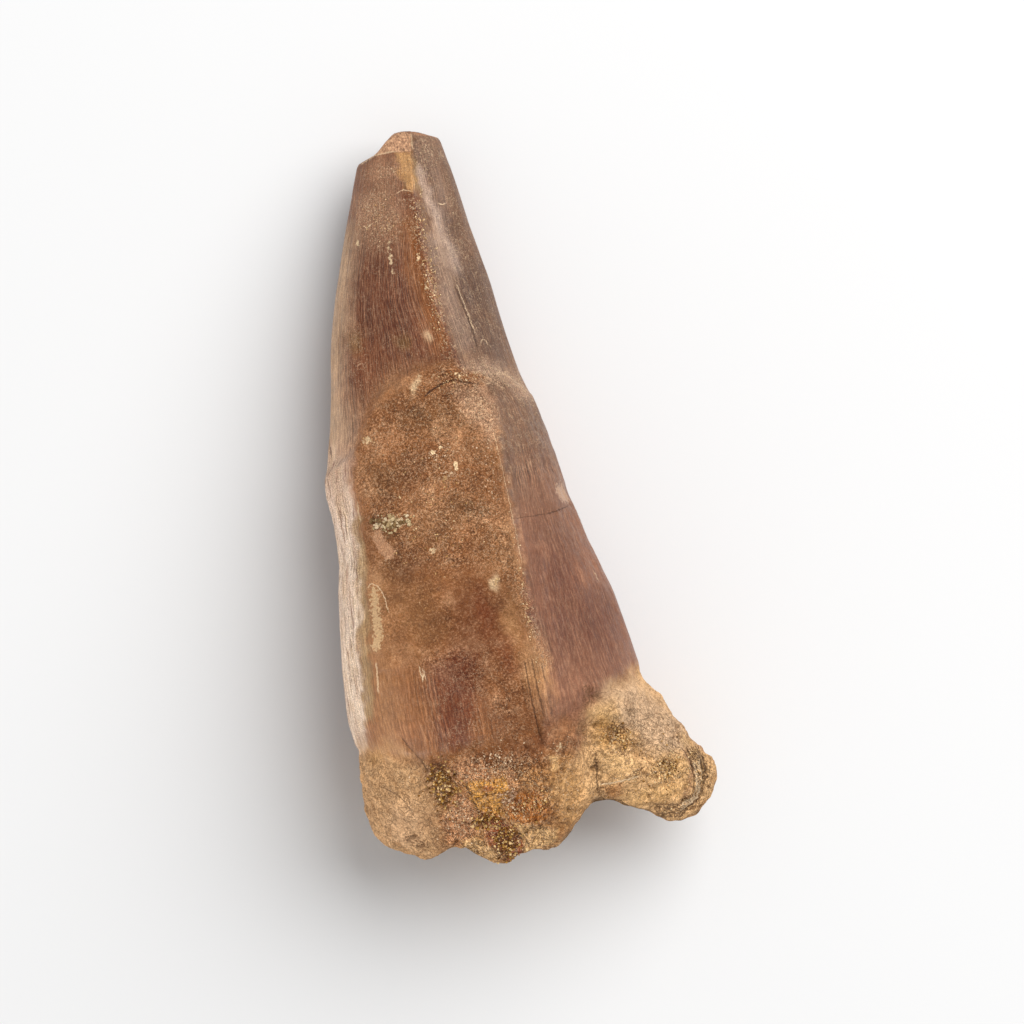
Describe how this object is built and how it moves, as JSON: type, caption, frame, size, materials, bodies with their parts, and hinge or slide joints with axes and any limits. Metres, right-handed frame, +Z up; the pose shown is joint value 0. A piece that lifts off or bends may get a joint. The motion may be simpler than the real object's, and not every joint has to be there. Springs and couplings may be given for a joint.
{
  "type": "fossil mosasaur tooth",
  "caption": "Fossil marine reptile tooth lying on its side: ridged brown crown with a broken tip, sandy crust, and a pale broken root with a bony spur.",
  "frame": {"origin": "on the surface the tooth lies on, below the middle of its bounding box", "axes": "+Y along the crown from the root to the broken tip, +Z up towards the ridge between the two faces of the crown, +X towards the bony spur"},
  "size_m": [0.0278, 0.0579, 0.0189],
  "materials": {
    "fossil_enamel": "satin"
  },
  "bodies": {
    "root": {"tooth": "fossil_enamel"}
  },
  "joints": []
}
